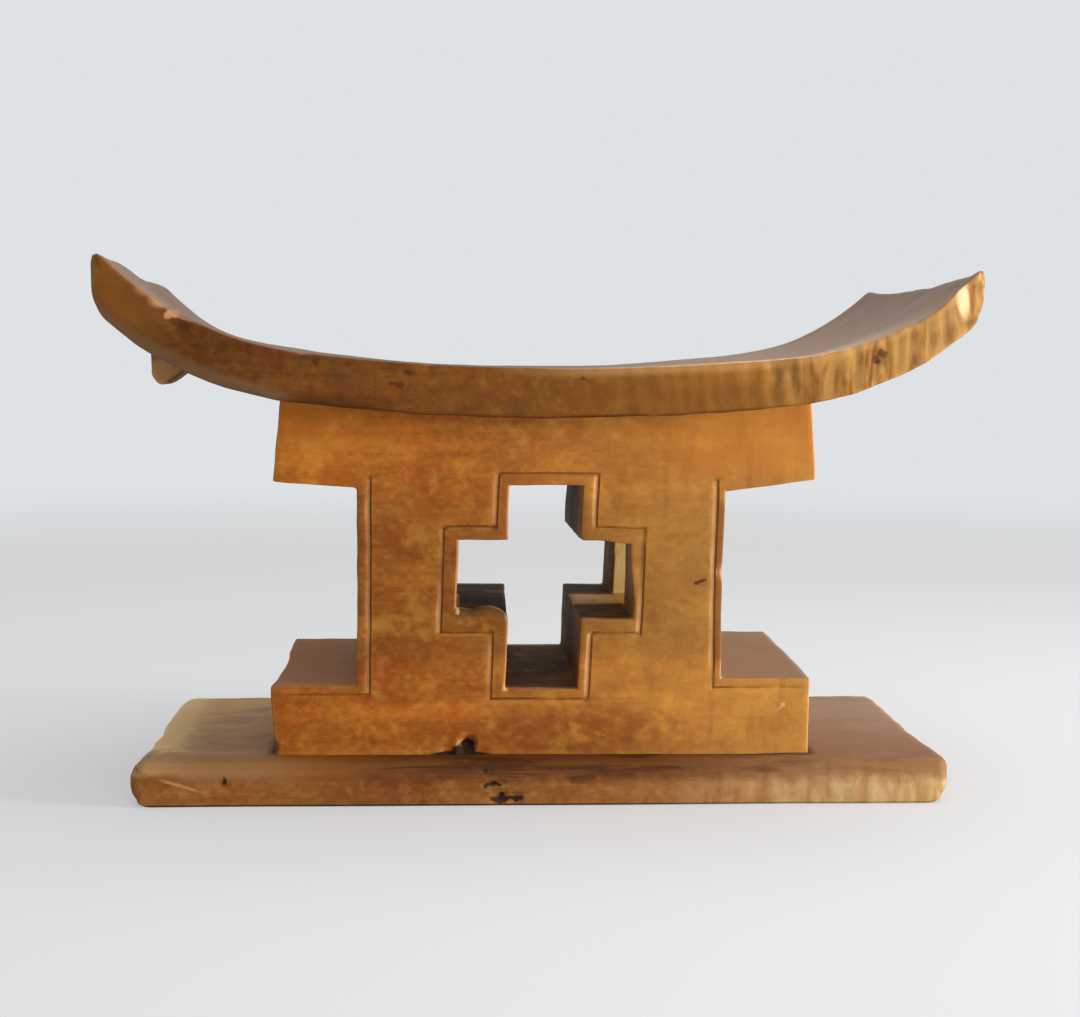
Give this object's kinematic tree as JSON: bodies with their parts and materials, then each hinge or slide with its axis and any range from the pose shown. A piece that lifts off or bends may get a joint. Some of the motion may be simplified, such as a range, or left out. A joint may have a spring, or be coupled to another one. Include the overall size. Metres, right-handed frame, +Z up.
{
  "type": "ashanti stool",
  "caption": "Low hand-carved wooden stool: a curved seat on a block pierced by a cross-shaped opening, standing on a flat base board.",
  "frame": {"origin": "middle of the base board's underside, on the floor", "axes": "+X along the seat towards its right end, seen from the front; +Y from the front to the back; +Z up"},
  "size_m": [0.537, 0.2671, 0.3395],
  "materials": {
    "seat_wood": "dark brown wood, rubbed smooth by use, with adze marks along the edges",
    "support_wood": "warm orange-brown wood, smoothly scraped and lightly waxed",
    "base_wood": "brown wood, roughly dressed, with worn edges"
  },
  "bodies": {
    "root": {"base_board": "base_wood", "plinth": "support_wood", "left_post": "support_wood", "right_post": "support_wood", "cap_bar": "support_wood", "seat": "seat_wood", "seat_lug": "seat_wood"}
  },
  "joints": []
}
